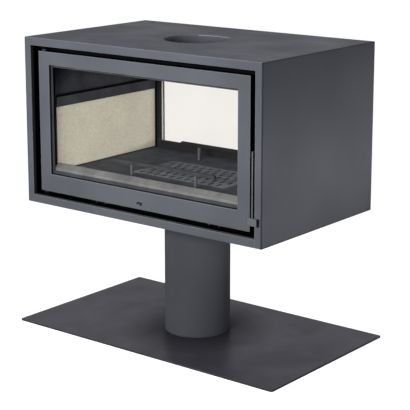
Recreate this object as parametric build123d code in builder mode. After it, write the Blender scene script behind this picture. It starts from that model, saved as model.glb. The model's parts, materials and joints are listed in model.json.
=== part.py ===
"""Double-sided wood burning stove on a round pedestal.

Millimetres, +Z up, origin at the bottom centre of the base plate. The front door faces -Y,
and the rear door is the same door turned half a turn about the Z axis. Places in front of the
centre plane are given as a forward distance, which is -Y.
"""

import os

from build123d import *

# Pedestal
plate_width = 990
plate_depth = 578
plate_thickness = 5
plate_corner = 8
plate_edge = 0.8
tube_diameter = 204
tube_wall = 4
tube_height = 395
ring_thickness = 12
ring_bore = 45
ring_play = 0.1
head_bolt_radius = 5
head_bolt_hex = 9.2
head_bolt_nut = 8
head_bolt_circle = 80
head_bolt_count = 4
head_bolt_turn = 45
head_bolt_play = 0.5
head_bolt_end = 2

# Casing of folded sheet, open at the front and the rear
casing_width = 900
casing_depth = 565
casing_height = 515
sheet = 3
bend = 2
rim_width = 24
rim_return = 15
flue_hole_diameter = 205

# Firebox of welded plate inside the casing
carrier_width = 560
carrier_depth = 360
carrier_thickness = 8
bearer_place = 220
bearer_width = 40
bearer_length = 400
bearer_wall = 3
wall = 4
firebox_half_width = 398
firebox_floor_height = 34
firebox_roof_height = 447
frame_half_width = 412
frame_low = 28
frame_high = 487
frame_forward = 238
opening_half_width = 369
opening_low = 98
opening_high = 440

# Flue collar, a socket for a 200 mm flue pipe
collar_bore = 200.6
collar_wall = 3
collar_flange_diameter = 262
collar_flange_thickness = 5
collar_height = 60.5
collar_step = 6

# Lining, hearth and grate
liner_thickness = 25
liner_half_depth = 232
liner_height = 200
liner_edge = 1
rail_height = 30
rail_face = 366
hearth_thickness = 12
hearth_play = 0.5
grate_width = 360
grate_depth = 200
grate_thickness = 8
grate_play = 1
grate_ledge = 10
grate_edge = 1
slot_width = 8
slot_chamfer = 2.4
slot_length = 30
slot_pitch = 30
slot_row_pitch = 38
slot_rows = 5
slots_per_row = 11
pan_width = 310
pan_depth = 170
pan_low = 46
pan_height = 36
pan_wall = 1.5
pan_rim = 8
pan_taper = 3
sill_half_length = 362
sill_height = 27
sill_forward = 257
sill_lip_low = 2
sill_lip_high = 15
baffle_height = 405
baffle_thickness = 15
baffle_edge = 2
baffle_half_width = 384
baffle_half_depth = 150
baffle_rail_width = 20

# Log guards, each a flat bar on two posts that stand in holes in the hearth
guard_forward = 163
guard_half_length = 197
guard_bar_height = 11
guard_bar_depth = 8
guard_bar_low = 139
guard_post_place = 124
guard_post_radius = 5
guard_peg_radius = 4
guard_peg_length = 8
guard_hole_radius = 4.6

# Door
door_half_width = 401.5
door_low = 40
door_high = 474
door_recess = 10
door_thickness = 24
door_plate = 4
door_edge = 0.8
door_wall = 3
door_lip = 8
door_lip_thickness = 2
window_half_width = 359.5
window_low = 95
window_high = 434.5
seal_half_width = 376
seal_low = 78
seal_high = 452
channel_width = 14
channel_wall = 2
channel_floor_depth = 10.5
rope_width = 11.6
rope_depth = 9.2
rope_round = 3.5
knife_gap = 0.8
glass_thickness = 4
glass_half_width = 366
glass_low = 91
glass_high = 442.5
tape_thickness = 3
tape_width = 7.5
retainer_cover = 12.8
retainer_low_cover = 18.6
retainer_high_cover = 15.8
retainer_thickness = 3
retainer_leg = 8.5
retainer_leg_thickness = 2
retainer_play = 0.2

# Hinges
hinge_inset = 11
hinge_depth = 16.5
hinge_pin_radius = 5
hinge_play = 0.05
hinge_pin_reach = 22
hinge_pin_short = 1
hinge_head_radius = 7
hinge_head_height = 2.5
boss_width = 15
boss_height = 24
bracket_thickness = 5
bracket_width = 21
bracket_reach = 28
bush_radius = 8
bush_play = 0.3
hinge_gap = 6

# Air slide in the bottom rail
air_slot_width = 12
air_slot_depth = 8
air_slot_pitch = 26
air_slot_count = 9
air_slide_half_length = 132
air_slide_thickness = 2
air_slide_depth = 14.5
air_slide_play = 0.3
air_slide_offset = 6
air_window_half_width = 11.5
air_window_low = 52
air_window_high = 61
air_tab_half_width = 4
air_tab_height = 4
air_tab_lift = 0.5
air_tab_reach = 4
air_stem_half_width = 10

# Handle lever, pivot and latch keeper
lever_low_x = 415.5
lever_thickness = 4
lever_play = 0.3
lever_bar_depth = 14.5
lever_high = 269
lever_eye_radius = 13
lever_head_height = 46
pivot_height = 256
pivot_forward = 260
pivot_radius = 5
pivot_shoulder_radius = 8
pivot_head_radius = 7
pivot_head_thickness = 2
pivot_nut_hex = 8
pivot_nut_thickness = 8
tab_left = 410.6
tab_right = 441.6
tab_low = 64
tab_high = 85
tab_gap = 1.5
tab_thickness = 11
tab_round = 1.5
hook_arm_height = 12
hook_reach = 233.5
hook_finger_depth = 5
hook_finger_height = 30
keeper_height = 270
keeper_forward = 243
keeper_radius = 4
keeper_gap = 0.6
keeper_lug_left = 403
keeper_lug_thickness = 4
keeper_lug_height = 18
keeper_lug_reach = 12

# Brackets between the casing sides and the firebox
tie_place = 150
tie_width = 40
tie_height = 250
tie_thickness = 2
tie_flange = 20

# Levels and faces worked out from the sizes above
casing_bottom = plate_thickness + tube_height
casing_top = casing_bottom + casing_height
half_width = casing_width / 2
half_depth = casing_depth / 2
rim_half_width = half_width - rim_width
rim_low = casing_bottom + rim_width
rim_high = casing_top - rim_width
frame_back = frame_forward - wall
side_wall_face = firebox_half_width - wall
roof_top = casing_bottom + firebox_roof_height + wall
hearth_top = casing_bottom + opening_low
hearth_bottom = hearth_top - hearth_thickness
door_face = half_depth - door_recess
door_plate_back = door_face - door_plate
door_back = door_face - door_thickness
door_bottom = casing_bottom + door_low
door_top = casing_bottom + door_high
window_bottom = casing_bottom + window_low
window_top = casing_bottom + window_high
channel_floor = door_plate_back - channel_floor_depth + channel_wall
rope_front = channel_floor - channel_wall
rope_back = rope_front - rope_depth
glass_front = door_plate_back - tape_thickness
glass_back = glass_front - glass_thickness
retainer_back = glass_back - retainer_thickness
channel_inner = channel_width / 2 + channel_wall
hinge_x = -door_half_width + hinge_inset
hinge_forward = door_face - hinge_depth
lever_high_x = lever_low_x + lever_thickness
strip_outer = seal_half_width - channel_inner - retainer_play
strip_bottom = casing_bottom + seal_low + channel_inner + retainer_play
strip_top = casing_bottom + seal_high - channel_inner - retainer_play

os.makedirs("parts", exist_ok=True)


def forward_plane(forward):
    """Upright plane at a forward distance, drawn in X and Z and facing the front."""
    return Plane.XZ.offset(forward)


def side_plane(x):
    """Upright plane at x, drawn in forward distance and Z and facing -X."""
    return Plane(origin=(x, 0, 0), x_dir=(0, -1, 0), z_dir=(-1, 0, 0))


def area(low_u, high_u, low_v, high_v, mode=Mode.ADD):
    """Rectangle between four limits in the current sketch."""
    with Locations(((low_u + high_u) / 2, (low_v + high_v) / 2)):
        Rectangle(high_u - low_u, high_v - low_v, mode=mode)


def border(half_x, low_z, high_z, width):
    """Rectangular ring whose centre line runs at half_x, low_z and high_z."""
    grow = width / 2
    area(-half_x - grow, half_x + grow, low_z - grow, high_z + grow)
    area(-half_x + grow, half_x - grow, low_z + grow, high_z - grow, mode=Mode.SUBTRACT)


def save(part, name):
    """Label a finished piece and write it."""
    part.label = name
    export_step(part, f"parts/{name}.step")


def save_front_and_rear(part, name):
    """Write a front piece, and the same piece turned half a turn for the rear."""
    save(part, f"front_{name}")
    save(part.rotate(Axis.Z, 180), f"rear_{name}")


def save_left_and_right(part, name):
    """Write a right-hand piece, and its mirror image for the left."""
    save(part, f"right_{name}")
    save(part.mirror(Plane.YZ), f"left_{name}")


# Base plate
with BuildPart() as base_plate:
    with BuildSketch():
        RectangleRounded(plate_width, plate_depth, plate_corner)
    extrude(amount=plate_thickness)
    chamfer(base_plate.faces().sort_by(Axis.Z)[-1].edges(), plate_edge)
save(base_plate.part, "base_plate")

# Pedestal tube
with BuildPart() as pedestal_tube:
    with BuildSketch(Plane.XY.offset(plate_thickness)):
        Circle(tube_diameter / 2)
        Circle(tube_diameter / 2 - tube_wall, mode=Mode.SUBTRACT)
    extrude(amount=tube_height)
save(pedestal_tube.part, "pedestal_tube")

# Ring welded into the tube's upper end
with BuildPart() as head_ring:
    with BuildSketch(Plane.XY.offset(casing_bottom - ring_thickness)):
        Circle(tube_diameter / 2 - tube_wall - ring_play)
        Circle(ring_bore, mode=Mode.SUBTRACT)
        with PolarLocations(head_bolt_circle, head_bolt_count, start_angle=head_bolt_turn):
            Circle(head_bolt_radius + head_bolt_play, mode=Mode.SUBTRACT)
    extrude(amount=ring_thickness)
save(head_ring.part, "pedestal_head_ring")

# Carrier plate on the casing floor
carrier_bottom = casing_bottom + sheet
carrier_top = carrier_bottom + carrier_thickness
with BuildPart() as carrier_plate:
    with BuildSketch(Plane.XY.offset(carrier_bottom)):
        Rectangle(carrier_width, carrier_depth)
        with PolarLocations(head_bolt_circle, head_bolt_count, start_angle=head_bolt_turn):
            Circle(head_bolt_radius + head_bolt_play, mode=Mode.SUBTRACT)
    extrude(amount=carrier_thickness)
save(carrier_plate.part, "carrier_plate")

# Bolts that hold the carrier plate and the casing floor to the head ring
head_bolt_bottom = casing_bottom - ring_thickness - head_bolt_nut
with BuildPart() as head_bolts:
    for level in (head_bolt_bottom, carrier_top):
        with BuildSketch(Plane.XY.offset(level)):
            with PolarLocations(head_bolt_circle, head_bolt_count, start_angle=head_bolt_turn):
                RegularPolygon(head_bolt_hex, 6)
        extrude(amount=head_bolt_nut)
    with BuildSketch(Plane.XY.offset(head_bolt_bottom)):
        with PolarLocations(head_bolt_circle, head_bolt_count, start_angle=head_bolt_turn):
            Circle(head_bolt_radius)
    extrude(amount=carrier_top + head_bolt_nut + head_bolt_end - head_bolt_bottom)
save(head_bolts.part, "head_bolts")

# Casing wrap: top and sides of one sheet, with folded rims and return lips
with BuildPart() as casing_wrap:
    with BuildSketch(forward_plane(-half_depth)):
        area(-half_width, half_width, casing_bottom, casing_top)
    extrude(amount=casing_depth)
    fillet(casing_wrap.edges() - casing_wrap.edges().group_by(Axis.Z)[0], bend)
    with BuildSketch(forward_plane(sheet - half_depth)):
        area(sheet - half_width, half_width - sheet, casing_bottom, casing_top - sheet)
    extrude(amount=casing_depth - 2 * sheet, mode=Mode.SUBTRACT)
    with BuildSketch(forward_plane(-half_depth)):
        area(-rim_half_width, rim_half_width, casing_bottom, rim_high)
    extrude(amount=casing_depth, mode=Mode.SUBTRACT)
    for lip_start in (-half_depth, half_depth - rim_return):
        with BuildSketch(forward_plane(lip_start)):
            area(-rim_half_width - sheet, rim_half_width + sheet, casing_bottom + sheet, rim_high + sheet)
            area(-rim_half_width, rim_half_width, casing_bottom + sheet, rim_high, mode=Mode.SUBTRACT)
        extrude(amount=rim_return)
    with Locations((0, 0, casing_top)):
        Hole(flue_hole_diameter / 2, depth=2 * sheet)
save(casing_wrap.part, "casing_wrap")

# Casing base: a tray between the wrap's sides, with the lower rims
with BuildPart() as casing_base:
    with BuildSketch(Plane.XY.offset(casing_bottom)):
        Rectangle(casing_width - 2 * sheet, casing_depth - 2 * sheet)
        with PolarLocations(head_bolt_circle, head_bolt_count, start_angle=head_bolt_turn):
            Circle(head_bolt_radius + head_bolt_play, mode=Mode.SUBTRACT)
    extrude(amount=sheet)
    for rim_start, lip_start in ((-half_depth, -half_depth), (half_depth - sheet, half_depth - rim_return)):
        with BuildSketch(forward_plane(rim_start)):
            area(-rim_half_width, rim_half_width, casing_bottom, rim_low)
        extrude(amount=sheet)
        with BuildSketch(forward_plane(lip_start)):
            area(-rim_half_width, rim_half_width, rim_low - sheet, rim_low)
        extrude(amount=rim_return)
save(casing_base.part, "casing_base")

# Bearers: two upturned channels between the carrier plate and the firebox floor
bearer_top = casing_bottom + firebox_floor_height
with BuildPart() as bearer:
    with BuildSketch(Plane.XZ.offset(-bearer_length / 2)):
        area(bearer_place - bearer_width / 2, bearer_place + bearer_width / 2, carrier_top, bearer_top)
        area(bearer_place - bearer_width / 2 + bearer_wall, bearer_place + bearer_width / 2 - bearer_wall,
             carrier_top, bearer_top - bearer_wall, mode=Mode.SUBTRACT)
    extrude(amount=bearer_length)
save_left_and_right(bearer.part, "bearer")

# Firebox floor, roof and side walls
with BuildPart() as firebox_floor:
    with BuildSketch(Plane.XY.offset(bearer_top)):
        Rectangle(2 * side_wall_face, 2 * frame_back)
    extrude(amount=wall)
save(firebox_floor.part, "firebox_floor")

with BuildPart() as firebox_roof:
    with BuildSketch(Plane.XY.offset(roof_top - wall)):
        Rectangle(2 * side_wall_face, 2 * frame_back)
        Circle(collar_bore / 2 - collar_step, mode=Mode.SUBTRACT)
    extrude(amount=wall)
save(firebox_roof.part, "firebox_roof")

with BuildPart() as firebox_wall:
    with BuildSketch(Plane.YZ.offset(side_wall_face)):
        area(-frame_back, frame_back, bearer_top, roof_top)
    extrude(amount=wall)
save_left_and_right(firebox_wall.part, "firebox_wall")

# Face frame with the knife edge that the door's rope seal closes on
knife_tip = rope_back - knife_gap
with BuildPart() as face_frame:
    with BuildSketch(forward_plane(frame_back)):
        area(-frame_half_width, frame_half_width, casing_bottom + frame_low, casing_bottom + frame_high)
        area(-opening_half_width, opening_half_width, hearth_top, casing_bottom + opening_high,
             mode=Mode.SUBTRACT)
    extrude(amount=wall)
    with BuildSketch(forward_plane(frame_forward)):
        border(seal_half_width, casing_bottom + seal_low, casing_bottom + seal_high, wall)
    extrude(amount=knife_tip - frame_forward)
save_front_and_rear(face_frame.part, "face_frame")

# Flue collar welded to the roof, its top just under the casing's flue hole
with BuildPart() as flue_collar:
    with BuildSketch(Plane.XY.offset(roof_top)):
        Circle(collar_flange_diameter / 2)
    extrude(amount=collar_flange_thickness)
    with BuildSketch(Plane.XY.offset(roof_top)):
        Circle(collar_bore / 2 + collar_wall)
    extrude(amount=collar_height)
    with Locations((0, 0, roof_top + collar_height)):
        Hole(collar_bore / 2, depth=collar_height)
save(flue_collar.part, "flue_collar")

# Mineral board liners and the angle rails on top of them
liner_top = hearth_top + liner_height
with BuildPart() as liner:
    with BuildSketch(Plane.YZ.offset(opening_half_width)):
        area(-liner_half_depth, liner_half_depth, hearth_top, liner_top)
    extrude(amount=liner_thickness)
    chamfer(liner.edges().filter_by(Axis.Y).group_by(Axis.Z)[-1], liner_edge)
save_left_and_right(liner.part, "liner")

with BuildPart() as liner_rail:
    with BuildSketch(forward_plane(-liner_half_depth)):
        area(rail_face, side_wall_face, liner_top, liner_top + sheet)
        area(rail_face, rail_face + sheet, liner_top, liner_top + rail_height)
    extrude(amount=2 * liner_half_depth)
save_left_and_right(liner_rail.part, "liner_rail")

# Baffle board on two angle rails
baffle_bottom = casing_bottom + baffle_height
with BuildPart() as baffle_board:
    with BuildSketch(Plane.XY.offset(baffle_bottom)):
        Rectangle(2 * baffle_half_width, 2 * baffle_half_depth)
    extrude(amount=baffle_thickness)
    chamfer(baffle_board.edges().filter_by(Axis.X), baffle_edge)
save(baffle_board.part, "baffle_board")

with BuildPart() as baffle_rail:
    with BuildSketch(forward_plane(-baffle_half_depth)):
        area(side_wall_face - baffle_rail_width, side_wall_face, baffle_bottom - sheet, baffle_bottom)
        area(side_wall_face - sheet, side_wall_face, baffle_bottom - baffle_rail_width, baffle_bottom)
    extrude(amount=2 * baffle_half_depth)
save_left_and_right(baffle_rail.part, "baffle_rail")

# Hearth plate with a stepped hole for the grate and holes for the log guards' pegs
with BuildPart() as hearth_plate:
    with BuildSketch(Plane.XY.offset(hearth_bottom)):
        Rectangle(2 * (side_wall_face - hearth_play), 2 * (frame_back - hearth_play))
        Rectangle(grate_width - 2 * grate_ledge, grate_depth - 2 * grate_ledge, mode=Mode.SUBTRACT)
    extrude(amount=hearth_thickness)
    with BuildSketch(Plane.XY.offset(hearth_top)):
        Rectangle(grate_width + 2 * grate_play, grate_depth + 2 * grate_play)
    extrude(amount=-grate_thickness, mode=Mode.SUBTRACT)
    with Locations((0, 0, hearth_top)):
        with GridLocations(2 * guard_post_place, 2 * guard_forward, 2, 2):
            Hole(guard_hole_radius, depth=hearth_thickness)
save(hearth_plate.part, "hearth_plate")

# Cast grate with staggered slots along the depth
with BuildSketch() as grate_slot:
    Rectangle(slot_width, slot_length)
    chamfer(grate_slot.vertices(), slot_chamfer)
with BuildPart() as grate:
    with BuildSketch(Plane.XY.offset(hearth_top - grate_thickness)):
        Rectangle(grate_width, grate_depth)
        for row in range(slot_rows):
            row_place = (row - (slot_rows - 1) / 2) * slot_row_pitch
            stagger = slot_pitch / 4 if row % 2 else -slot_pitch / 4
            with Locations((stagger, row_place)):
                with GridLocations(slot_pitch, 0, slots_per_row, 1):
                    add(grate_slot.sketch, mode=Mode.SUBTRACT)
    extrude(amount=grate_thickness)
    chamfer(grate.faces().sort_by(Axis.Z)[-1].outer_wire().edges(), grate_edge)
save(grate.part, "grate")

# Ash pan, a folded tray on the firebox floor, lifted out through the grate's hole
with BuildPart() as ash_pan:
    with BuildSketch(Plane.XY.offset(casing_bottom + pan_low)):
        Rectangle(pan_width, pan_depth)
    extrude(amount=pan_height, taper=-pan_taper)
    pan_mouth = ash_pan.faces().sort_by(Axis.Z)[-1]
    offset(amount=-pan_wall, openings=pan_mouth)
    with BuildSketch(Plane.XY.offset(casing_bottom + pan_low + pan_height - pan_wall)):
        Rectangle(pan_width + pan_rim, pan_depth + pan_rim)
        Rectangle(pan_width, pan_depth, mode=Mode.SUBTRACT)
    extrude(amount=pan_wall)
save(ash_pan.part, "ash_pan")

# Sill: a folded strip that stands on the face frame and slopes down to the glass
sill_ridge = hearth_top + sill_height
with BuildPart() as sill:
    with BuildSketch(side_plane(sill_half_length)):
        with BuildLine():
            Polyline(
                (frame_forward - sheet, hearth_top),
                (frame_forward - sheet, sill_ridge),
                (frame_forward, sill_ridge),
                (sill_forward, hearth_top + sill_lip_high),
                (sill_forward, hearth_top + sill_lip_low),
                (sill_forward - sheet, hearth_top + sill_lip_low),
                (sill_forward - sheet, hearth_top + sill_lip_high - sheet / 2),
                (frame_forward, sill_ridge - sheet),
                (frame_forward, hearth_top),
                close=True,
            )
        make_face()
    extrude(amount=2 * sill_half_length)
save_front_and_rear(sill.part, "sill")

# Log guard: flat bar, two posts and their pegs in the hearth
with BuildPart() as log_guard:
    with BuildSketch(forward_plane(guard_forward - guard_bar_depth / 2)):
        area(-guard_half_length, guard_half_length, casing_bottom + guard_bar_low,
             casing_bottom + guard_bar_low + guard_bar_height)
    extrude(amount=guard_bar_depth)
    chamfer(log_guard.edges().filter_by(Axis.Y), guard_bar_height / 4)
    peg_bottom = hearth_top - guard_peg_length
    for radius, bottom in ((guard_post_radius, hearth_top), (guard_peg_radius, peg_bottom)):
        with BuildSketch(Plane.XY.offset(bottom)):
            with Locations((-guard_post_place, -guard_forward), (guard_post_place, -guard_forward)):
                Circle(radius)
        extrude(amount=casing_bottom + guard_bar_low + guard_bar_height / 2 - bottom)
save_front_and_rear(log_guard.part, "log_guard")

# Door frame: plate with the window, folded walls and lips, rope channel and hinge bosses
with BuildPart() as door_frame:
    with BuildSketch(forward_plane(door_plate_back)):
        area(-door_half_width, door_half_width, door_bottom, door_top)
        area(-window_half_width, window_half_width, window_bottom, window_top, mode=Mode.SUBTRACT)
        area(-air_window_half_width, air_window_half_width, casing_bottom + air_window_low,
             casing_bottom + air_window_high, mode=Mode.SUBTRACT)
    extrude(amount=door_plate)
    for fold_back, fold_front, fold_width in (
        (door_back, door_plate_back, door_wall),
        (door_back, door_back + door_lip_thickness, door_wall + door_lip),
    ):
        with BuildSketch(forward_plane(fold_back)):
            border(door_half_width - fold_width / 2, door_bottom + fold_width / 2,
                   door_top - fold_width / 2, fold_width)
        extrude(amount=fold_front - fold_back)
    for rib_shift in (-(channel_width + channel_wall) / 2, (channel_width + channel_wall) / 2):
        with BuildSketch(forward_plane(door_back)):
            border(seal_half_width + rib_shift, casing_bottom + seal_low - rib_shift,
                   casing_bottom + seal_high + rib_shift, channel_wall)
        extrude(amount=door_plate_back - door_back)
    with BuildSketch(forward_plane(rope_front)):
        border(seal_half_width, casing_bottom + seal_low, casing_bottom + seal_high, channel_width)
    extrude(amount=channel_wall)
    for boss_bottom in (door_bottom + door_wall, door_top - door_wall - boss_height):
        with BuildSketch(forward_plane(door_back)):
            area(door_wall - door_half_width, door_wall - door_half_width + boss_width, boss_bottom,
                 boss_bottom + boss_height)
        extrude(amount=door_plate_back - door_back)
    for bore_mouth in (door_top, door_bottom + door_wall + hinge_pin_reach):
        with Locations((hinge_x, -hinge_forward, bore_mouth)):
            Hole(hinge_pin_radius + hinge_play, depth=door_wall + hinge_pin_reach)
    with BuildSketch(Plane.XY.offset(door_bottom)):
        with Locations((0, -(door_plate_back + door_back) / 2)):
            with GridLocations(air_slot_pitch, 0, air_slot_count, 1):
                Rectangle(air_slot_width, air_slot_depth)
    extrude(amount=door_wall, mode=Mode.SUBTRACT)
    with BuildSketch(side_plane(door_half_width)):
        with Locations((pivot_forward, casing_bottom + pivot_height)):
            Circle(pivot_radius + hinge_play)
    extrude(amount=door_wall, mode=Mode.SUBTRACT)
    door_front_edges = door_frame.faces().sort_by(Axis.Y)[0].edges()
    chamfer(door_front_edges, door_edge)
save_front_and_rear(door_frame.part, "door_frame")

# Glass, its sealing tape and the rope seal
with BuildPart() as door_glass:
    with BuildSketch(forward_plane(glass_back)):
        area(-glass_half_width, glass_half_width, casing_bottom + glass_low, casing_bottom + glass_high)
    extrude(amount=glass_thickness)
save_front_and_rear(door_glass.part, "door_glass")

with BuildPart() as glass_tape:
    with BuildSketch(forward_plane(glass_front)):
        border(glass_half_width - tape_width / 2, casing_bottom + glass_low + tape_width / 2,
               casing_bottom + glass_high - tape_width / 2, tape_width)
    extrude(amount=tape_thickness)
save_front_and_rear(glass_tape.part, "glass_tape")

with BuildPart() as rope_seal:
    with BuildSketch(forward_plane(rope_back)):
        border(seal_half_width, casing_bottom + seal_low, casing_bottom + seal_high, rope_width)
    extrude(amount=rope_depth)
    fillet(rope_seal.faces().sort_by(Axis.Y)[-1].edges(), rope_round)
save_front_and_rear(rope_seal.part, "rope_seal")

# Glass retainers: four angle strips that press the glass against its tape
strip_end = strip_outer - retainer_cover - retainer_play
with BuildPart() as glass_retainers:
    with BuildSketch(forward_plane(retainer_back)):
        area(-strip_outer, -strip_outer + retainer_cover, strip_bottom, strip_top)
        area(strip_outer - retainer_cover, strip_outer, strip_bottom, strip_top)
        area(-strip_end, strip_end, strip_bottom, strip_bottom + retainer_low_cover)
        area(-strip_end, strip_end, strip_top - retainer_high_cover, strip_top)
    extrude(amount=retainer_thickness)
    with BuildSketch(forward_plane(retainer_back - retainer_leg)):
        area(-strip_outer, -strip_outer + retainer_leg_thickness, strip_bottom, strip_top)
        area(strip_outer - retainer_leg_thickness, strip_outer, strip_bottom, strip_top)
        area(-strip_end, strip_end, strip_bottom, strip_bottom + retainer_leg_thickness)
        area(-strip_end, strip_end, strip_top - retainer_leg_thickness, strip_top)
    extrude(amount=retainer_leg)
save_front_and_rear(glass_retainers.part, "glass_retainers")

# Hinge brackets on the face frame, with their pins and spacer bushes
with BuildPart() as hinge_brackets:
    for bracket_bottom in (door_top + hinge_gap, door_bottom - hinge_gap - bracket_thickness):
        with BuildSketch(Plane.XY.offset(bracket_bottom)):
            area(hinge_x - bracket_width / 2, hinge_x + bracket_width / 2, -frame_forward - bracket_reach,
                 -frame_forward)
            with Locations((hinge_x, -hinge_forward)):
                Circle(hinge_pin_radius, mode=Mode.SUBTRACT)
        extrude(amount=bracket_thickness)
    front_corners = hinge_brackets.edges().filter_by(Axis.Z).group_by(Axis.Y)[0]
    fillet(front_corners, bracket_width / 4)
save_front_and_rear(hinge_brackets.part, "hinge_brackets")

bracket_face = door_top + hinge_gap + bracket_thickness
hinge_pin_length = bracket_thickness + hinge_gap + door_wall + hinge_pin_reach - hinge_pin_short
with BuildPart() as hinge_pins:
    with Locations((hinge_x, -hinge_forward, bracket_face)):
        Cylinder(hinge_head_radius, hinge_head_height, align=(Align.CENTER, Align.CENTER, Align.MIN))
        Cylinder(hinge_pin_radius, hinge_pin_length, align=(Align.CENTER, Align.CENTER, Align.MAX))
    mirror(about=Plane.XY.offset((door_top + door_bottom) / 2))
save_front_and_rear(hinge_pins.part, "hinge_pins")

with BuildPart() as hinge_bushes:
    with BuildSketch(Plane.XY.offset(door_top + bush_play)):
        with Locations((hinge_x, -hinge_forward)):
            Circle(bush_radius)
            Circle(hinge_pin_radius + hinge_play, mode=Mode.SUBTRACT)
    extrude(amount=hinge_gap - 2 * bush_play)
    mirror(about=Plane.XY.offset((door_top + door_bottom) / 2))
save_front_and_rear(hinge_bushes.part, "hinge_bushes")

# Air slide: slotted strip on the frame's lower wall, with a tab through the slot in the plate
slide_bottom = door_bottom + door_wall + air_slide_play
tab_bottom = casing_bottom + air_window_low + air_tab_lift
slide_front = (door_plate_back + door_back) / 2 + air_slide_depth / 2
with BuildPart() as air_slide:
    with BuildSketch(Plane.XY.offset(slide_bottom)):
        with Locations((0, -(door_plate_back + door_back) / 2)):
            Rectangle(2 * air_slide_half_length, air_slide_depth)
        with Locations((air_slide_offset, -(door_plate_back + door_back) / 2)):
            with GridLocations(air_slot_pitch, 0, air_slot_count, 1):
                Rectangle(air_slot_width, air_slot_depth, mode=Mode.SUBTRACT)
    extrude(amount=air_slide_thickness)
    with BuildSketch(forward_plane(slide_front - air_slide_thickness)):
        area(-air_stem_half_width, air_stem_half_width, slide_bottom, tab_bottom + air_tab_height)
    extrude(amount=air_slide_thickness)
    with BuildSketch(forward_plane(slide_front)):
        area(-air_tab_half_width, air_tab_half_width, tab_bottom, tab_bottom + air_tab_height)
    extrude(amount=door_face + air_tab_reach - slide_front)
save_front_and_rear(air_slide.part, "air_slide")

# Handle pivot: shoulder bolt through the door's edge
pivot_level = casing_bottom + pivot_height
pivot_end = lever_high_x + lever_play
with BuildPart() as handle_pivot:
    for end, length, radius in (
        (pivot_end + pivot_head_thickness, pivot_head_thickness, pivot_head_radius),
        (pivot_end, pivot_end - door_half_width + door_wall + pivot_nut_thickness, pivot_radius),
        (lever_low_x - lever_play, lever_low_x - lever_play - door_half_width, pivot_shoulder_radius),
    ):
        with BuildSketch(side_plane(end)):
            with Locations((pivot_forward, pivot_level)):
                Circle(radius)
        extrude(amount=length)
    with BuildSketch(side_plane(door_half_width - door_wall)):
        with Locations((pivot_forward, pivot_level)):
            RegularPolygon(pivot_nut_hex, 6)
    extrude(amount=pivot_nut_thickness)
save_front_and_rear(handle_pivot.part, "handle_pivot")

# Handle lever: flat bar with an eye, a hook behind it and a square tab at the lower end
lever_top = casing_bottom + lever_high
bar_back = half_depth - lever_bar_depth
tab_back = half_depth + tab_gap
with BuildPart() as handle_lever:
    with BuildSketch(side_plane(lever_high_x)):
        with Locations((pivot_forward, pivot_level)):
            Circle(lever_eye_radius)
        area(bar_back, half_depth, lever_top - lever_head_height, lever_top)
        make_hull()
        area(bar_back, half_depth, casing_bottom + tab_low, lever_top)
        area(bar_back, tab_back, casing_bottom + tab_low, casing_bottom + tab_high)
        area(hook_reach, pivot_forward, pivot_level - hook_arm_height / 2, pivot_level + hook_arm_height / 2)
        area(hook_reach, hook_reach + hook_finger_depth, pivot_level - hook_arm_height / 2,
             pivot_level - hook_arm_height / 2 + hook_finger_height)
        with Locations((pivot_forward, pivot_level)):
            Circle(pivot_radius + hinge_play, mode=Mode.SUBTRACT)
    extrude(amount=lever_thickness)
    with BuildSketch(forward_plane(tab_back)):
        area(tab_left, tab_right, casing_bottom + tab_low, casing_bottom + tab_high)
    extrude(amount=tab_thickness)
    fillet(handle_lever.faces().sort_by(Axis.Y)[0].edges(), tab_round)
save_front_and_rear(handle_lever.part, "handle_lever")

# Latch keeper: a pin on a lug on the face frame, its end just short of the lever's hook
keeper_level = casing_bottom + keeper_height
with BuildPart() as latch_keeper:
    with BuildSketch(side_plane(keeper_lug_left + keeper_lug_thickness)):
        area(frame_forward, frame_forward + keeper_lug_reach, keeper_level - keeper_lug_height / 2,
             keeper_level + keeper_lug_height / 2)
    extrude(amount=keeper_lug_thickness)
    with BuildSketch(side_plane(lever_low_x - keeper_gap)):
        with Locations((keeper_forward, keeper_level)):
            Circle(keeper_radius)
    extrude(amount=lever_low_x - keeper_gap - keeper_lug_left)
save_front_and_rear(latch_keeper.part, "latch_keeper")

# Angle ties between the firebox walls and the casing sides
tie_level = casing_bottom + tie_height
with BuildPart() as casing_ties:
    for place in (-tie_place, tie_place):
        with BuildSketch(forward_plane(place - tie_width / 2)):
            area(firebox_half_width, half_width - sheet, tie_level, tie_level + tie_thickness)
            area(firebox_half_width, firebox_half_width + tie_thickness, tie_level - tie_flange, tie_level)
            area(half_width - sheet - tie_thickness, half_width - sheet, tie_level, tie_level + tie_flange)
        extrude(amount=tie_width)
    mirror(about=Plane.YZ)
save(casing_ties.part, "casing_ties")
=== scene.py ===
"""Looks of the double-sided wood burning stove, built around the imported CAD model.

Metres, +Z up, in the CAD model's frame: the front door faces -Y and the rear door is the same
door turned half a turn about the Z axis.
"""

import json
import math

import bmesh
import bpy
from mathutils import Matrix, Vector


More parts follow.
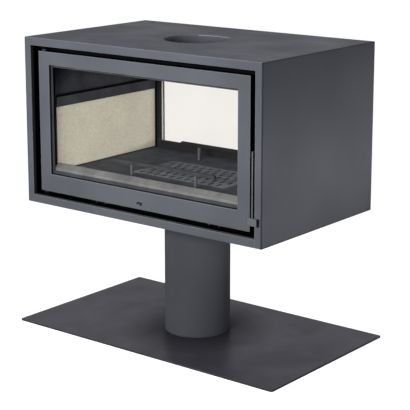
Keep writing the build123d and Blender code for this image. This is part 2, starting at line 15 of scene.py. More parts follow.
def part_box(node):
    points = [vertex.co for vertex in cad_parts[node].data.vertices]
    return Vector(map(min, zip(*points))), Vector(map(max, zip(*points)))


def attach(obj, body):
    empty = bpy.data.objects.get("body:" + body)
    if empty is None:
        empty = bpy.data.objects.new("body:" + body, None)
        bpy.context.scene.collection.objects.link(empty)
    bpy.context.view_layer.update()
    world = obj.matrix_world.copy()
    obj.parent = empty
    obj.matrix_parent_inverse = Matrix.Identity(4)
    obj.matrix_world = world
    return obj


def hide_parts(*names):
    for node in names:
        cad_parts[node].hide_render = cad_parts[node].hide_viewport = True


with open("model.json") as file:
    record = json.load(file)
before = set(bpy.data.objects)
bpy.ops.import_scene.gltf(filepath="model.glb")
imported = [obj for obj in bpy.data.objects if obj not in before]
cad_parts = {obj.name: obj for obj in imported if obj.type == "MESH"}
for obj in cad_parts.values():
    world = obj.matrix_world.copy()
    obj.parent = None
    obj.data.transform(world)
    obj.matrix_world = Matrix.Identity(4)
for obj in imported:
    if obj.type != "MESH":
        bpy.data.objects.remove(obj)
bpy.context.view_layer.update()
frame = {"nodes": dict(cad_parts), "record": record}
nodes = frame["nodes"]
sides = ("front", "rear")
casing_low, casing_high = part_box("casing_wrap")
casing_middle = (casing_low + casing_high) / 2
hearth_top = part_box("grate")[1].z
liner_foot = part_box("left_liner")[0].z
rail_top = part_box("left_liner_rail")[1].z

# Camera, as found from the photograph: pixels, metres, degrees and, for the sensor, millimetres
image_side = 410
focal_pixels = 1376.8
axis_row = 150
camera_place = (2.5817, -3.2142, 1.4391)
camera_azimuth = 38.45
camera_pitch = 11.862
sensor = 36.0

# Light: even surroundings that are dim below the horizon, and soft boxes around the casing
room_colour = (0.955, 0.965, 1.06, 1.0)
room_level = 0.42
ground_share = 0.06
horizon_low = -0.15
horizon_high = 0.2
box_width = 1.3
box_height = 0.5
box_distance = 2.7
box_rise = 6
front_rise = 13
front_beam = 60
side_beam = 20
side_drop = 0.18
white = (1.0, 1.0, 1.0)
side_colour = (1.0, 0.965, 0.92)

# Floor
floor_reach = 60
floor_tone = 0.35
floor_cloud = 0.01
floor_glow = 0.88

# Stove paint: roughness and shine, how far the coat, its grain and its roughness swing, lightness
# of the painted highlights on bends, of the painted shade on folds, gaps and door channels, and of
# the tube against the coat, and reach of the painted highlights on edges
paint_rough = 0.42
paint_shine = 0.5
paint_swing = 0.15
grain_swing = 0.05
rough_swing = 0.09
bend_highlight_gain = 1.9
fold_shade_tone = 0.3
gap_shade_tone = 0.25
channel_shade_tone = 0.35
tube_tone = 0.70
edge_reach = 0.003

# Casing sheet and doors: reach of the painted shade at the side folds, depth at which a face counts
# as an inner one, depth at which the painted shade inside is black, and width of the black painted
# shade margin behind a door's face
fold_shade_reach = 0.004
inner_depth = 0.0025
gap_shade_depth = 0.035
door_shade_margin = 0.004

# Base plate: reach of the painted shadow round the tube's foot, how clear the plate is at the
# tube's wall, lightness in the painted shadow, and shine further off
foot_shadow_reach = 0.15
foot_clear = 0.25
foot_shadow_tone = 0.55
plate_shine = 0.45

# Firebox: width of the black painted shade inside a door's outline, sooty outer margin of the glass
# retainers, whose inner part is a pale painted light strip, height over which the painted shadow
# above a liner's rail turns from black to grey, roughness of the paint and its swing, reach of worn
# edges, and how much lighter they are on paint and on iron
frame_shade_margin = 0.008
strip_margin = 0.006
rail_shadow_height = 0.006
firebox_rough = 0.72
firebox_swing = 0.08
worn_reach = 0.001
worn_paint = 1.7
worn_iron = 1.25

# Hearth: depth below its top face at which iron turns black, as soot and painted shade, underside
# of the log guards' bars, the guards' painted shade towards the fire and painted light below the
# bars, and heights above a liner's foot between which its painted shade line ends
soot_and_shade_depth = 0.0006
guard_bar_low = 0.5385
guard_shade_tone = 0.45
guard_post_light_tone = 2.0
shade_line_start = 0.002
shade_line_end = 0.005

# Glass: shine of its mirror, share that it mirrors when faced, how this rises with the slant,
# greatest roughness of its film, and tints where the film is thin and thick
glass_shine = 1.0
glass_mirror = 0.012
slant_power = 5.0
glass_smear = 0.02
clear_tint = (0.976, 0.967, 0.952, 1.0)
filmy_tint = (0.966, 0.957, 0.942, 1.0)

# Colours
# Black of the painted shade in gaps, hollows and shaded sides
shade_black = (0.002, 0.002, 0.0025, 1.0)
soot = (0.017, 0.017, 0.019, 1.0)
# Dark of the painted shade line along a liner's foot
liner_foot_shade = (0.03, 0.026, 0.02, 1.0)
# Pale grey of the retainers' painted light strip
strip_light_grey = (0.38, 0.385, 0.38, 1.0)
anthracite = (0.0585, 0.061, 0.0705)
plate_grey = (0.031, 0.0305, 0.0375)
lever_grey = (0.072, 0.074, 0.082)
firebox_grey = (0.045, 0.048, 0.060)
# Near black for parts seen only in the gaps: painted shade
gap_painted_shade = (0.0018, 0.0018, 0.0022)
frame_black = (0.021, 0.022, 0.025)
rail_grey = (0.052, 0.054, 0.062)
retainer_grey = (0.036, 0.038, 0.043)
# Sill grey, lighter than the other firebox paints: a painted sheen in place of the sill's highlight
sill_lit_grey = (0.116, 0.119, 0.124)
hearth_grey = (0.057, 0.064, 0.079)
guard_grey = (0.036, 0.037, 0.041)
grate_grey = (0.154, 0.166, 0.192)
board_pale = (0.80, 0.77, 0.66, 1.0)
board_dark = (0.605, 0.575, 0.482, 1.0)
baffle_pale = (0.060, 0.060, 0.066, 1.0)
baffle_dark = (0.040, 0.040, 0.044, 1.0)
rope_colour = (0.022, 0.022, 0.024)
tape_colour = (0.004, 0.004, 0.005)
pin_steel = (0.09, 0.09, 0.094)
bright_steel = (0.62, 0.62, 0.63)

# Screws that hold the glass retainers: the profile gives shares of the head's radius and height,
# and the leg share how far behind the retainers' outer face the middle of their legs lies
head_radius = 0.003
head_height = 0.002
head_sides = 12
head_profile = ((1.0, 0.0), (0.97, 0.45), (0.8, 0.85), (0.6, 1.0))
socket_radius = 0.0016
socket_levels = (1.0, 0.45)
screw_side_levels = (0.605, 0.725)
screw_end_places = (-0.22, 0.22)
retainer_leg_wall = 0.002
retainer_leg_share = 0.63

# Rope seal and glass tape: lengths in metres, reliefs as shares of the radius, and how much
# lighter faded yarn is
rope_step = 0.003
rope_sides = 14
rope_corner = 0.007
rope_flatness = 1.2
braid_length = 0.009
braid_strands = 4
braid_relief = 0.07
fade_gain = 2.6
tape_step = 0.004
tape_sides = 8
tape_corner = 0.004
tape_half_width = 0.0036
rib_size = 0.94
rib_relief = 0.05
rib_steps = 2
corner_turns = 4

# Directions of a surface: cosines between which an edge and a bend fade into a face, cosine past
# which a surface faces left or right, and, for one that faces the fire, the highest product of
# its cosine along Y and its place along Y
edge_limits = (0.75, 0.995)
bend_limits = (0.85, 0.99)
side_limit = 0.7
fire_limit = -0.1

# Places of the colour sockets in a Mix node
mix_factor, mix_first, mix_second, mix_result = 0, 6, 7, 2


def grey(level):
    """Grey colour of one level."""
    return (level, level, level, 1.0)


def tone(colour, factor):
    """Colour made lighter or darker by a factor."""
    return (colour[0] * factor, colour[1] * factor, colour[2] * factor, 1.0)


# Node helpers

def make_material(name):
    """New node material, its tree and its shader."""
    material = bpy.data.materials.new(name)
    material.use_nodes = True
    tree = material.node_tree
    return material, tree, tree.nodes["Principled BSDF"]


def set_input(tree, socket, value):
    """Links a socket to another one, or gives it a value."""
    if isinstance(value, bpy.types.NodeSocket):
        tree.links.new(value, socket)
    else:
        socket.default_value = value


def add_node(tree, kind, inputs=None, **settings):
    """Node of a kind, with input values or links and settings."""
    node = tree.nodes.new(kind)
    for key, value in settings.items():
        setattr(node, key, value)
    for key, value in (inputs or {}).items():
        set_input(tree, node.inputs[key], value)
    return node


def connect(tree, shader, **links):
    """Links or sets shader inputs, named with underscores for spaces."""
    for key, value in links.items():
        set_input(tree, shader.inputs[key.replace("_", " ")], value)


def place(tree):
    """Position on the object, in metres."""
    return add_node(tree, "ShaderNodeTexCoord").outputs["Object"]


def facing(tree):
    """Direction in which the object's surface faces."""
    return add_node(tree, "ShaderNodeTexCoord").outputs["Normal"]


def axes(tree, vector):
    """Values of a vector along X, Y and Z."""
    return add_node(tree, "ShaderNodeSeparateXYZ", {"Vector": vector}).outputs


def math_node(tree, operation, first, second=0.0):
    """One arithmetic step."""
    inputs = {0: first, 1: second}
    return add_node(tree, "ShaderNodeMath", inputs, operation=operation).outputs[0]


def vector_node(tree, operation, first, second=(0.0, 0.0, 0.0), output="Vector"):
    """One step of vector arithmetic."""
    inputs = {0: first, 1: second}
    return add_node(tree, "ShaderNodeVectorMath", inputs, operation=operation).outputs[output]


def noise(tree, scale, detail=3.0, rough=0.5, vector=None):
    """Noise value with a number of cells per metre."""
    vector = vector or place(tree)
    inputs = {"Vector": vector, "Scale": scale, "Detail": detail, "Roughness": rough}
    return add_node(tree, "ShaderNodeTexNoise", inputs).outputs["Fac"]


def stretched(tree, scale):
    """Position stretched by a factor along each axis."""
    inputs = {"Vector": place(tree), "Scale": scale}
    return add_node(tree, "ShaderNodeMapping", inputs).outputs["Vector"]


def spread(tree, value, low, high, from_low=0.35, from_high=0.65):
    """Value spread from two limits, by default a noise's usual ones, to two new limits."""
    inputs = {"Value": value, "From Min": from_low, "From Max": from_high,
              "To Min": low, "To Max": high}
    return add_node(tree, "ShaderNodeMapRange", inputs).outputs["Result"]


def blend(tree, factor, first, second):
    """Colour between two colours."""
    inputs = {mix_factor: factor, mix_first: first, mix_second: second}
    return add_node(tree, "ShaderNodeMix", inputs, data_type="RGBA").outputs[mix_result]


def speckled(tree, value, colour, darker, lighter):
    """Colour that a value takes from a darker to a lighter tone."""
    share = spread(tree, value, 0.0, 1.0)
    return blend(tree, share, tone(colour, darker), tone(colour, lighter))


def weighted(tree, first, second, share):
    """Sum of two values, of which the first has a share and the second the rest."""
    return math_node(tree, "ADD", math_node(tree, "MULTIPLY", first, share),
                     math_node(tree, "MULTIPLY", second, 1 - share))


def rounded_normal(tree, radius):
    """Surface direction with edges rounded by a radius."""
    return add_node(tree, "ShaderNodeBevel", {"Radius": radius}, samples=6).outputs["Normal"]


def bump(tree, height, distance, strength=1.0, normal=None):
    """Surface direction changed by a height."""
    inputs = {"Height": height, "Distance": distance, "Strength": strength}
    if normal is not None:
        inputs["Normal"] = normal
    return add_node(tree, "ShaderNodeBump", inputs).outputs["Normal"]


# Shares of a surface, from nought to one

def edge_share(tree, radius):
    """One on a convex or hollow edge and nought on a flat face."""
    soft = rounded_normal(tree, radius)
    true = add_node(tree, "ShaderNodeNewGeometry").outputs["Normal"]
    dot = vector_node(tree, "DOT_PRODUCT", soft, true, output="Value")
    return spread(tree, dot, 1.0, 0.0, *edge_limits)


def bend_share(tree):
    """One on a rounded or slanted strip between square faces and nought on the faces."""
    across, along, upward = axes(tree, vector_node(tree, "ABSOLUTE", facing(tree)))
    largest = math_node(tree, "MAXIMUM", math_node(tree, "MAXIMUM", across, along), upward)
    return spread(tree, largest, 1.0, 0.0, *bend_limits)


def fire_share(tree):
    """Whether a surface in front of or behind the fire faces inwards, towards it."""
    turned = axes(tree, facing(tree))["Y"]
    along = axes(tree, place(tree))["Y"]
    return math_node(tree, "LESS_THAN", math_node(tree, "MULTIPLY", turned, along), fire_limit)


def side_share(tree):
    """Whether a surface faces left or right."""
    across = axes(tree, facing(tree))["X"]
    return math_node(tree, "GREATER_THAN", math_node(tree, "ABSOLUTE", across), side_limit)


def foot_share(tree, tube):
    """How near a point of the plate lies to an upright tube: most at its wall, nought far off."""
    low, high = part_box(tube)
    radius = (high.x - low.x) / 2
    flat = vector_node(tree, "MULTIPLY", place(tree), (1, 1, 0))
    distance = vector_node(tree, "LENGTH", flat, output="Value")
    clear = spread(tree, distance, foot_clear, 1.0, radius, radius + foot_shadow_reach)
    return math_node(tree, "SUBTRACT", 1.0, math_node(tree, "POWER", clear, 2.0))


def below_share(tree, level):
    """Whether a point lies below a level."""
    return math_node(tree, "LESS_THAN", axes(tree, place(tree))["Z"], level)


def lower_share(tree, low, high):
    """One at and under the lower of two levels, and nought at and over the higher one."""
    return spread(tree, axes(tree, place(tree))["Z"], 1.0, 0.0, low, high)


def from_middle(tree, node):
    """How far a point lies from the middle of a node along each axis, and the node's half size."""
    low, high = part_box(node)
    offset = vector_node(tree, "SUBTRACT", place(tree), (low + high) / 2)
    return vector_node(tree, "ABSOLUTE", offset), (high - low) / 2


def sheet_shares(tree, node):
    """Shares of a folded body: side folds, inner faces, and depth behind its front and rear."""
    away, half = from_middle(tree, node)
    across, along, upward = axes(tree, vector_node(tree, "SUBTRACT", half, away))
    from_fold = math_node(tree, "MAXIMUM", across, math_node(tree, "MINIMUM", along, upward))
    least = math_node(tree, "MINIMUM", math_node(tree, "MINIMUM", across, along), upward)
    fold = spread(tree, from_fold, 1.0, 0.0, fold_shade_reach / 2, fold_shade_reach)
    inner = math_node(tree, "GREATER_THAN", least, inner_depth)
    return fold, inner, spread(tree, along, 0.0, 1.0, inner_depth, gap_shade_depth)


def behind_share(tree, node):
    """Whether a point of a front node, or of its rear twin, lies behind the node's outer face."""
    low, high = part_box(node)
    outer = max(abs(low.y), abs(high.y))
    along = axes(tree, place(tree))["Y"]
    return math_node(tree, "LESS_THAN", math_node(tree, "ABSOLUTE", along), outer - inner_depth)


def outside_share(tree, node, margin):
    """Whether a point lies near or beyond a node's outline, seen from the front or the rear."""
    away, half = from_middle(tree, node)
    across, _, upward = axes(tree, away)
    wide = math_node(tree, "GREATER_THAN", across, half.x - margin)
    tall = math_node(tree, "GREATER_THAN", upward, half.z - margin)
    return math_node(tree, "MAXIMUM", wide, tall)


# Materials

def stove_paint(name, colour, rough=paint_rough, cloud=0.08, edge_highlight_gain=1.6, body=None, door=None,
                foot=None, shaded_sides=False):
    """Satin stove paint: a fine sprayed grain, faint clouds and painted highlights on edges.

    A folded body or door has painted highlights on its bends. A body has painted shade on its side
    folds and inside, where it turns black.
    A door has painted shade behind its face, and black painted shade along its outline. Round the
    foot of a tube a painted shadow makes the paint darker and dull. Shaded sides, which face left
    or right, are painted black as shade.
    """
    material, tree, shader = make_material(name)
    clouds = spread(tree, noise(tree, scale=4.5, detail=4.0, rough=0.55), 1 - cloud, 1 + cloud)
    grain = spread(tree, noise(tree, scale=1400, detail=2.0), 1 - grain_swing, 1 + grain_swing)
    shade = math_node(tree, "MULTIPLY", clouds, grain)
    thin, thick = 1 - paint_swing, 1 + paint_swing
    share = spread(tree, shade, 0.0, 1.0, thin, thick)
    coat = blend(tree, share, tone(colour, thin), tone(colour, thick))
    # Painted highlight: edges lighter than the coat
    film = blend(tree, edge_share(tree, edge_reach), coat, tone(colour, edge_highlight_gain))
    roughness = spread(tree, noise(tree, scale=4.0, detail=3.0, rough=0.55),
                       rough - rough_swing, rough + rough_swing)
    if body or door:
        # Painted highlight: bends lighter than the coat
        film = blend(tree, bend_share(tree), film, tone(colour, bend_highlight_gain))
    if shaded_sides:
        # Painted shade: faces turned left or right are black
        film = blend(tree, side_share(tree), film, shade_black)
    if foot:
        contact_shadow = foot_share(tree, foot)
        # Painted shadow round the tube's foot: darker paint with less shine
        film = blend(tree, contact_shadow, film, tone(colour, foot_shadow_tone))
        connect(tree, shader, Specular_IOR_Level=spread(tree, contact_shadow, plate_shine, 0.0, 0.0, 1.0))
    inner = None
    if body:
        fold, inner, sunk = sheet_shares(tree, body)
        # Painted shade: darker side folds, and inner faces darker at the front edge and black
        # deeper in
        film = blend(tree, fold, film, tone(colour, fold_shade_tone))
        film = blend(tree, inner, film, blend(tree, sunk, tone(colour, gap_shade_tone), shade_black))
    if door:
        inner = behind_share(tree, door)
        outline = outside_share(tree, door, door_shade_margin)
        # Painted shade: a door darker behind its face and black along its outline, in the gaps
        # round it
        film = blend(tree, inner, film,
                     blend(tree, outline, tone(colour, channel_shade_tone), shade_black))
    # Painted shade on inner faces also makes them dull and takes away their shine
    if inner is not None:
        roughness = math_node(tree, "MAXIMUM", roughness, inner)
        connect(tree, shader, Specular_IOR_Level=spread(tree, inner, paint_shine, 0.0))
    peel = bump(tree, noise(tree, scale=850, detail=2.0), distance=0.00005, strength=0.35,
                normal=rounded_normal(tree, edge_reach))
    connect(tree, shader, Base_Color=film, Roughness=roughness, Normal=peel)
    return material


def firebox_paint(name, colour, sooty=False, shine=0.12, door=None, strip=None, rail=None):
    """Matt heat-proof paint with a dry, slightly uneven film, and soot on the fire's side if sooty.

    On the fire's side the inner part of a strip is pale, a painted light strip. Beyond a door's
    outline, in the gap round it, painted shade makes the paint black, and a painted shadow does so
    up to the level of a rail.
    """
    material, tree, shader = make_material(name)
    film = speckled(tree, noise(tree, scale=14, detail=5.0, rough=0.6), colour,
                    darker=0.8, lighter=1.25)
    film = blend(tree, edge_share(tree, worn_reach), film, tone(colour, worn_paint))
    if sooty:
        soot_and_light_strip = soot
        if strip:
            # Painted light: pale inner part of the strip, with soot along its outline
            soot_and_light_strip = blend(tree, outside_share(tree, strip, strip_margin), strip_light_grey, soot)
        film = blend(tree, fire_share(tree), film, soot_and_light_strip)
    if door:
        # Painted shade: black beyond the door's outline, in the gap
        film = blend(tree, outside_share(tree, door, frame_shade_margin), film, shade_black)
    if rail is not None:
        # Painted shadow: black below the rail's top, fading out above it
        film = blend(tree, lower_share(tree, rail, rail + rail_shadow_height), film, shade_black)
    roughness = spread(tree, noise(tree, scale=30, detail=3.0),
                       firebox_rough - firebox_swing, firebox_rough + firebox_swing)
    dry = bump(tree, noise(tree, scale=1100, detail=3.0), distance=0.00004, strength=0.25,
               normal=rounded_normal(tree, 0.0008))
    connect(tree, shader, Base_Color=film, Roughness=roughness, Normal=dry,
            Specular_IOR_Level=shine)
    return material


def cast_iron(name, colour, bar=None):
    """Raw casting with a sandy skin, black below the hearth's top face as soot and painted shade.

    With a bar's underside given, painted shade makes it darker towards the fire and painted light
    makes it lighter below that level.
    """
    material, tree, shader = make_material(name)
    patches = noise(tree, scale=22, detail=5.0, rough=0.6)
    sand = noise(tree, scale=620, detail=4.0, rough=0.65)
    skin = speckled(tree, weighted(tree, patches, sand, share=0.75), colour,
                    darker=0.7, lighter=1.3)
    skin = blend(tree, edge_share(tree, worn_reach), skin, tone(colour, worn_iron))
    if bar is not None:
        # Painted shade towards the fire and painted light below the bar
        skin = blend(tree, fire_share(tree), skin, tone(colour, guard_shade_tone))
        skin = blend(tree, below_share(tree, bar), skin, tone(colour, guard_post_light_tone))
    # Soot and painted shade: black below the hearth's top face, in the grate's slots
    skin = blend(tree, below_share(tree, hearth_top - soot_and_shade_depth), skin, soot)
    sandy = bump(tree, sand, distance=0.0001, strength=0.25,
                 normal=rounded_normal(tree, worn_reach))
    connect(tree, shader, Base_Color=skin, Roughness=spread(tree, sand, low=0.55, high=0.75),
            Normal=sandy, Specular_IOR_Level=0.15)
    return material


def mineral_board(name, pale, dark, foot=None):
    """Pressed board of small pale flakes, with a painted shade line along its foot."""
    material, tree, shader = make_material(name)
    flake = add_node(tree, "ShaderNodeTexVoronoi", {"Vector": place(tree), "Scale": 330.0})
    hue = add_node(tree, "ShaderNodeSeparateColor", {"Color": flake.outputs["Color"]})
    cloud = noise(tree, scale=11, detail=4.0, rough=0.6)
    mottle = weighted(tree, hue.outputs["Red"], cloud, share=0.45)
    body = blend(tree, spread(tree, mottle, 0.0, 1.0, from_low=0.2, from_high=0.8), dark, pale)
    if foot is not None:
        # Painted shade: a dark line along the board's foot
        body = blend(tree, lower_share(tree, foot + shade_line_start, foot + shade_line_end), body, liner_foot_shade)
    relief = math_node(tree, "ADD", flake.outputs["Distance"], noise(tree, scale=500, detail=3.0))
    pressed = bump(tree, relief, distance=0.0004, strength=0.35,
                   normal=rounded_normal(tree, worn_reach))
    connect(tree, shader, Base_Color=body, Roughness=spread(tree, cloud, low=0.85, high=0.97),
            Normal=pressed, Specular_IOR_Level=0.2)
    return material


def fire_glass(name):
    """Clear ceramic glass with a faint film on its surface, which mirrors more at a slant."""
    material, tree, shader = make_material(name)
    film = noise(tree, scale=7, detail=3.0)
    tint = blend(tree, spread(tree, film, 0.0, 1.0), filmy_tint, clear_tint)
    connect(tree, shader, Base_Color=grey(glass_shine), Metallic=1.0,
            Roughness=spread(tree, film, 0.0, glass_smear))
    passing = add_node(tree, "ShaderNodeBsdfTransparent", {"Color": tint}).outputs["BSDF"]
    slant = add_node(tree, "ShaderNodeLayerWeight").outputs["Facing"]
    mirrored = spread(tree, math_node(tree, "POWER", slant, slant_power), glass_mirror, 1.0)
    layers = {0: mirrored, 1: passing, 2: shader.outputs["BSDF"]}
    pane = add_node(tree, "ShaderNodeMixShader", layers).outputs["Shader"]
    tree.links.new(pane, tree.nodes["Material Output"].inputs["Surface"])
    return material


def glass_rope(name, colour, fuzz):
    """Black glass-fibre yarn with pale stray fibres."""
    material, tree, shader = make_material(name)
    yarn = noise(tree, scale=900, detail=3.0, rough=0.6, vector=stretched(tree, (1.0, 0.35, 1.0)))
    patches = noise(tree, scale=60, detail=3.0)
    body = speckled(tree, yarn, colour, darker=0.5, lighter=1.9)
    faded = blend(tree, spread(tree, patches, low=0.0, high=0.35), body, tone(colour, fade_gain))
    fibres = bump(tree, yarn, distance=0.0003, strength=0.8)
    connect(tree, shader, Base_Color=faded, Roughness=spread(tree, patches, low=0.8, high=0.95),
            Normal=fibres, Sheen_Weight=fuzz, Specular_IOR_Level=0.1)
    return material


def turned_steel(name, colour):
    """Plain steel with fine tool marks."""
    material, tree, shader = make_material(name)
    marks = noise(tree, scale=500, detail=2.0, vector=stretched(tree, (1.0, 1.0, 12.0)))
    body = speckled(tree, marks, colour, darker=0.8, lighter=1.15)
    rings = bump(tree, marks, distance=0.00005, strength=0.5,
                 normal=rounded_normal(tree, 0.0005))
    connect(tree, shader, Base_Color=body, Metallic=1.0,
            Roughness=spread(tree, marks, low=0.45, high=0.6), Normal=rings)
    return material


paint = stove_paint("satin_paint", anthracite)
door_paint = stove_paint("door_paint", anthracite, edge_highlight_gain=2.8, door="front_door_frame")
wrap_paint = stove_paint("casing_paint", anthracite, edge_highlight_gain=2.6, body="casing_wrap")
base_paint = stove_paint("casing_base_paint", anthracite, edge_highlight_gain=2.6, body="casing_base")
plate_paint = stove_paint("plate_paint", plate_grey, rough=0.34, cloud=0.26, foot="pedestal_tube")
tube_paint = stove_paint("tube_paint", tone(anthracite, tube_tone))
lever_paint = stove_paint("lever_paint", lever_grey, rough=0.5, cloud=0.1, shaded_sides=True)
inner_paint = firebox_paint("firebox_paint", firebox_grey)
# Painted shade: parts seen in the gaps are near black
gap_shade_paint = firebox_paint("gap_shade_paint", gap_painted_shade, shine=0.02)
frame_paint = firebox_paint("frame_paint", frame_black, shine=0.02, door="front_door_frame")
rail_paint = firebox_paint("rail_paint", rail_grey)
wall_paint = firebox_paint("wall_paint", firebox_grey, rail=rail_top)
retainer_paint = firebox_paint("retainer_paint", retainer_grey, sooty=True,
                               strip="front_glass_retainers")
sill_paint = firebox_paint("sill_paint", sill_lit_grey, sooty=True)
iron = cast_iron("hearth_iron", hearth_grey)
guard_iron = cast_iron("guard_iron", guard_grey, bar=guard_bar_low)
grate_iron = cast_iron("grate_iron", grate_grey)
board = mineral_board("fire_board", board_pale, board_dark, foot=liner_foot)
dark_board = mineral_board("dark_board", baffle_pale, baffle_dark)
glass = fire_glass("door_glass")
rope_black = glass_rope("seal_rope", rope_colour, fuzz=0.2)
tape_black = glass_rope("glass_tape", tape_colour, fuzz=0.0)
steel = turned_steel("bright_steel", pin_steel)
bush_steel = turned_steel("bush_steel", bright_steel)

slot_materials = {
    "satin_paint": paint,
    "firebox_steel": inner_paint,
    "cast_iron": iron,
    "mineral_board": board,
    "glass": glass,
    "rope": rope_black,
    "bright_steel": steel,
}
node_materials = {
    "casing_wrap": wrap_paint,
    "casing_base": base_paint,
    "base_plate": plate_paint,
    "flue_collar": paint,
    "pedestal_tube": tube_paint,
    "baffle_board": dark_board,
    "grate": grate_iron,
    "carrier_plate": gap_shade_paint,
    "casing_ties": gap_shade_paint,
    "left_firebox_wall": wall_paint,
    "right_firebox_wall": wall_paint,
    "left_liner_rail": rail_paint,
    "right_liner_rail": rail_paint,
}
twin_materials = {
    "face_frame": frame_paint,
    "hinge_brackets": gap_shade_paint,
    "hinge_bushes": bush_steel,
    "latch_keeper": gap_shade_paint,
    "sill": sill_paint,
    "log_guard": guard_iron,
    "glass_retainers": retainer_paint,
    "door_frame": door_paint,
    "handle_lever": lever_paint,
}
for side in sides:
    for twin, material in twin_materials.items():
        node_materials[f"{side}_{twin}"] = material


def dress(thing, material):
    """Gives a piece one material."""
    thing.data.materials.clear()
    thing.data.materials.append(material)


for part in frame["record"]["subparts"]:
    name = part["node"]
    dress(nodes[name], node_materials.get(name, slot_materials[part["material_slot"]]))


# Pieces that the solids leave to this file

def mesh_object(name, work, material):
    """Object from a worked mesh."""
    data = bpy.data.meshes.new(name)
    work.to_mesh(data)
    work.free()
    thing = bpy.data.objects.new(name, data)
    bpy.context.scene.collection.objects.link(thing)
    dress(thing, material)
    return thing


def mesh_piece(name, work, material, body):
    """Smooth piece from a worked mesh, moving with a body."""
    bmesh.ops.recalc_face_normals(work, faces=work.faces)
    piece = mesh_object(name, work, material)
    piece.data.shade_smooth()
    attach(piece, body)
    return piece


def around(items):
    """Each item of a closed ring with the one after it."""
    return zip(items, items[1:] + items[:1])


def skin_between(work, first, second):
    """Faces between two rings of corners."""
    for (a, b), (d, c) in zip(around(first), around(second)):
        work.faces.new((a, b, c, d))


def loop_points(half_width, low, high, corner, step):
    """Points and outward directions of a rectangle with round corners, in X and Z."""
    corners = ((half_width, low), (half_width, high), (-half_width, high), (-half_width, low))
    turns = max(corner_turns, round(corner * math.pi / 2 / step))
    points = []
    for index, (x, z) in enumerate(corners):
        inward = Vector((-math.copysign(corner, x), 0, corner if z == low else -corner))
        centre = Vector((x, 0, z)) + inward
        start = math.radians(90 * index - 90)
        for turn in range(turns + 1):
            angle = start + math.radians(90) * turn / turns
            out = Vector((math.cos(angle), 0, math.sin(angle)))
            points.append((centre + out * corner, out))
    full = []
    for (point, out), (after, _) in around(points):
        run = (after - point).length
        count = max(1, round(run / step)) if run > 2 * step else 1
        full += [(point.lerp(after, share / count), out) for share in range(count)]
    return full


def loop_length(points):
    """Length of a closed loop of points."""
    return sum((after - point).length for (point, _), (after, _) in around(points))


def swept_loop(points, middle, section):
    """Closed tube along points, its section given by a function of the share of the way round."""
    work = bmesh.new()
    rings = []
    travelled = 0.0
    total = loop_length(points)
    for (point, out), (after, _) in around(points):
        ring = []
        for aside, back in section(travelled / total):
            spot = (point.x + out.x * aside, middle + back, point.z + out.z * aside)
            ring.append(work.verts.new(spot))
        rings.append(ring)
        travelled += (after - point).length
    for first, second in around(rings):
        skin_between(work, first, second)
    return work


def loop_box(node):
    """Outer half width, lowest and highest level, middle and half depth of a ring-shaped node."""
    low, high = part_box(node)
    return high.x, low.z, high.z, (low.y + high.y) / 2, (high.y - low.y) / 2


def rope_piece(side):
    """Braided rope in the door's channel."""
    half, low, high, middle, half_depth = loop_box(f"{side}_rope_seal")
    half_width = half_depth * rope_flatness
    points = loop_points(half - half_width, low + half_width, high - half_width,
                         rope_corner, rope_step)
    plaits = round(loop_length(points) / braid_length)

    def section(share):
        ring = []
        wave = 2 * math.pi * plaits * share
        for number in range(rope_sides):
            angle = 2 * math.pi * number / rope_sides
            turn = braid_strands * angle
            plait = math.cos(wave + turn) * math.cos(wave - turn)
            size = 1 - braid_relief + braid_relief * plait
            ring.append((half_width * size * math.cos(angle), half_depth * size * math.sin(angle)))
        return ring

    piece = mesh_piece(f"{side}_braided_rope", swept_loop(points, middle, section), rope_black,
                       f"{side}_door")
    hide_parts(f"{side}_rope_seal")


def tape_piece(side):
    """Flat woven tape between the door plate and the glass."""
    half, low, high, middle, half_depth = loop_box(f"{side}_glass_tape")
    points = loop_points(half - tape_half_width, low + tape_half_width, high - tape_half_width,
                         tape_corner, tape_step)

    def section(share):
        ring = []
        rib = rib_size + rib_relief * math.cos(2 * math.pi * share * len(points) / rib_steps)
        for number in range(tape_sides):
            angle = 2 * math.pi * (number + 0.5) / tape_sides
            aside, back = math.cos(angle), math.sin(angle)
            flat = max(abs(aside), abs(back))
            ring.append((tape_half_width * aside / flat * rib, half_depth * back / flat * rib))
        return ring

    piece = mesh_piece(f"{side}_woven_tape", swept_loop(points, middle, section), tape_black,
                       f"{side}_door")
    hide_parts(f"{side}_glass_tape")


def head_ring(work, seat, reaches, level):
    """Ring of corners round a screw's axis at a level, its reaches taken in turn."""
    ring = []
    for number in range(head_sides):
        angle = math.radians(360 / head_sides * number)
        reach = reaches[number % len(reaches)]
        spot = Vector((math.cos(angle) * reach, math.sin(angle) * reach, level))
        ring.append(work.verts.new(seat @ spot))
    return ring


def screw_head(work, spot, inward):
    """Domed head with a hexagon socket, standing on a spot and facing inward."""
    seat = Matrix.Translation(spot) @ inward.to_track_quat("Z", "Y").to_matrix().to_4x4()
    rings = [head_ring(work, seat, (wide * head_radius,), tall * head_height)
             for wide, tall in head_profile]
    hexagon = (socket_radius, socket_radius * math.cos(math.radians(30)))
    rings += [head_ring(work, seat, hexagon, level * head_height) for level in socket_levels]
    for first, second in zip(rings, rings[1:]):
        skin_between(work, first, second)
    work.faces.new(rings[0][::-1])
    work.faces.new(rings[-1])


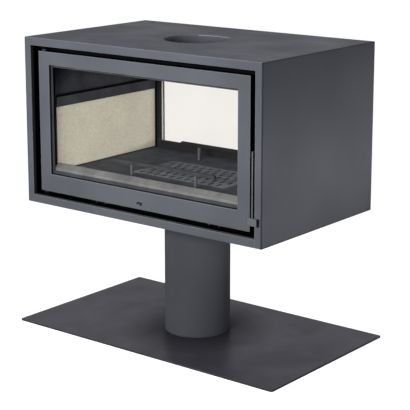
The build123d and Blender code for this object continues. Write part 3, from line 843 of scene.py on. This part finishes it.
def retainer_screws(side):
    """Screws through the legs of the four glass retainers."""
    low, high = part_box(f"{side}_glass_retainers")
    outer, inner = (low.y, high.y) if side == "front" else (high.y, low.y)
    leg = outer * (1 - retainer_leg_share) + inner * retainer_leg_share
    work = bmesh.new()
    for level in screw_side_levels:
        screw_head(work, Vector((low.x + retainer_leg_wall, leg, level)), Vector((1, 0, 0)))
        screw_head(work, Vector((high.x - retainer_leg_wall, leg, level)), Vector((-1, 0, 0)))
    for across in screw_end_places:
        screw_head(work, Vector((across, leg, low.z + retainer_leg_wall)), Vector((0, 0, 1)))
        screw_head(work, Vector((across, leg, high.z - retainer_leg_wall)), Vector((0, 0, -1)))
    mesh_piece(f"{side}_retainer_screws", work, steel, f"{side}_door")


for side in sides:
    rope_piece(side)
    tape_piece(side)
    retainer_screws(side)


# Floor, light and camera

def floor_piece():
    """Plain pale floor, lit from within and left out of the light on the stove."""
    work = bmesh.new()
    bmesh.ops.create_grid(work, x_segments=4, y_segments=4, size=floor_reach)
    material, tree, shader = make_material("floor_white")
    cloud = spread(tree, noise(tree, scale=0.6, detail=2.0), 0.0, 1.0)
    body = blend(tree, cloud, grey(floor_tone - floor_cloud), grey(floor_tone))
    connect(tree, shader, Base_Color=body, Roughness=0.9, Specular_IOR_Level=0.0,
            Emission_Color=grey(1.0), Emission_Strength=floor_glow)
    floor = mesh_object("floor", work, material)
    floor.visible_diffuse = False
    floor.visible_glossy = False


def surroundings():
    """Even studio walls that are dim below the horizon, with a white backdrop."""
    world = bpy.data.worlds.new("studio")
    world.use_nodes = True
    bpy.context.scene.world = world
    tree = world.node_tree
    direction = add_node(tree, "ShaderNodeTexCoord").outputs["Generated"]
    rise = axes(tree, direction)["Z"]
    level = spread(tree, rise, room_level * ground_share, room_level, horizon_low, horizon_high)
    room = add_node(tree, "ShaderNodeBackground", {"Color": room_colour, "Strength": level})
    backdrop = add_node(tree, "ShaderNodeBackground", {"Color": grey(1.0)})
    seen = add_node(tree, "ShaderNodeLightPath").outputs["Is Camera Ray"]
    layers = {0: seen, 1: room.outputs[0], 2: backdrop.outputs[0]}
    mixed = add_node(tree, "ShaderNodeMixShader", layers).outputs["Shader"]
    tree.links.new(mixed, tree.nodes["World Output"].inputs["Surface"])


def soft_box(name, azimuth, power, beam, height=box_rise, drop=0.0, colour=white):
    """Broad lamp with a grid that faces the casing from a little above its middle."""
    data = bpy.data.lights.new(name, "AREA")
    data.shape = "RECTANGLE"
    data.size = box_width
    data.size_y = box_height
    data.energy = power
    data.color = colour
    data.spread = math.radians(beam)
    lamp = bpy.data.objects.new(name, data)
    turn, rise = math.radians(azimuth), math.radians(height)
    outward = Vector((math.sin(turn) * math.cos(rise), -math.cos(turn) * math.cos(rise),
                      math.sin(rise)))
    lamp.location = casing_middle + box_distance * outward - Vector((0, 0, drop))
    lamp.rotation_euler = (math.radians(90) - rise, 0, turn)
    lamp.visible_camera = False
    lamp.visible_transmission = False
    lamp.visible_glossy = False
    bpy.context.scene.collection.objects.link(lamp)


def camera():
    """Camera at the photograph's place."""
    data = bpy.data.cameras.new("camera")
    data.sensor_width = sensor
    data.lens = focal_pixels * sensor / image_side
    data.shift_y = (axis_row - image_side / 2) / image_side
    view = bpy.data.objects.new("camera", data)
    view.location = camera_place
    view.rotation_euler = (math.radians(90 - camera_pitch), 0, math.radians(camera_azimuth))
    bpy.context.scene.collection.objects.link(view)
    bpy.context.scene.camera = view


floor_piece()
surroundings()
soft_box("front_box", azimuth=-40, power=6.0, beam=front_beam)
soft_box("front_fill", azimuth=11, power=15.4, beam=front_beam, height=front_rise)
soft_box("rear_box", azimuth=159, power=2.2, beam=side_beam)
soft_box("right_box", azimuth=91, power=2.35, beam=side_beam, drop=side_drop, colour=side_colour)
soft_box("left_box", azimuth=271, power=2.4, beam=side_beam, drop=side_drop, colour=side_colour)
camera()
bpy.context.scene.view_settings.view_transform = "Standard"
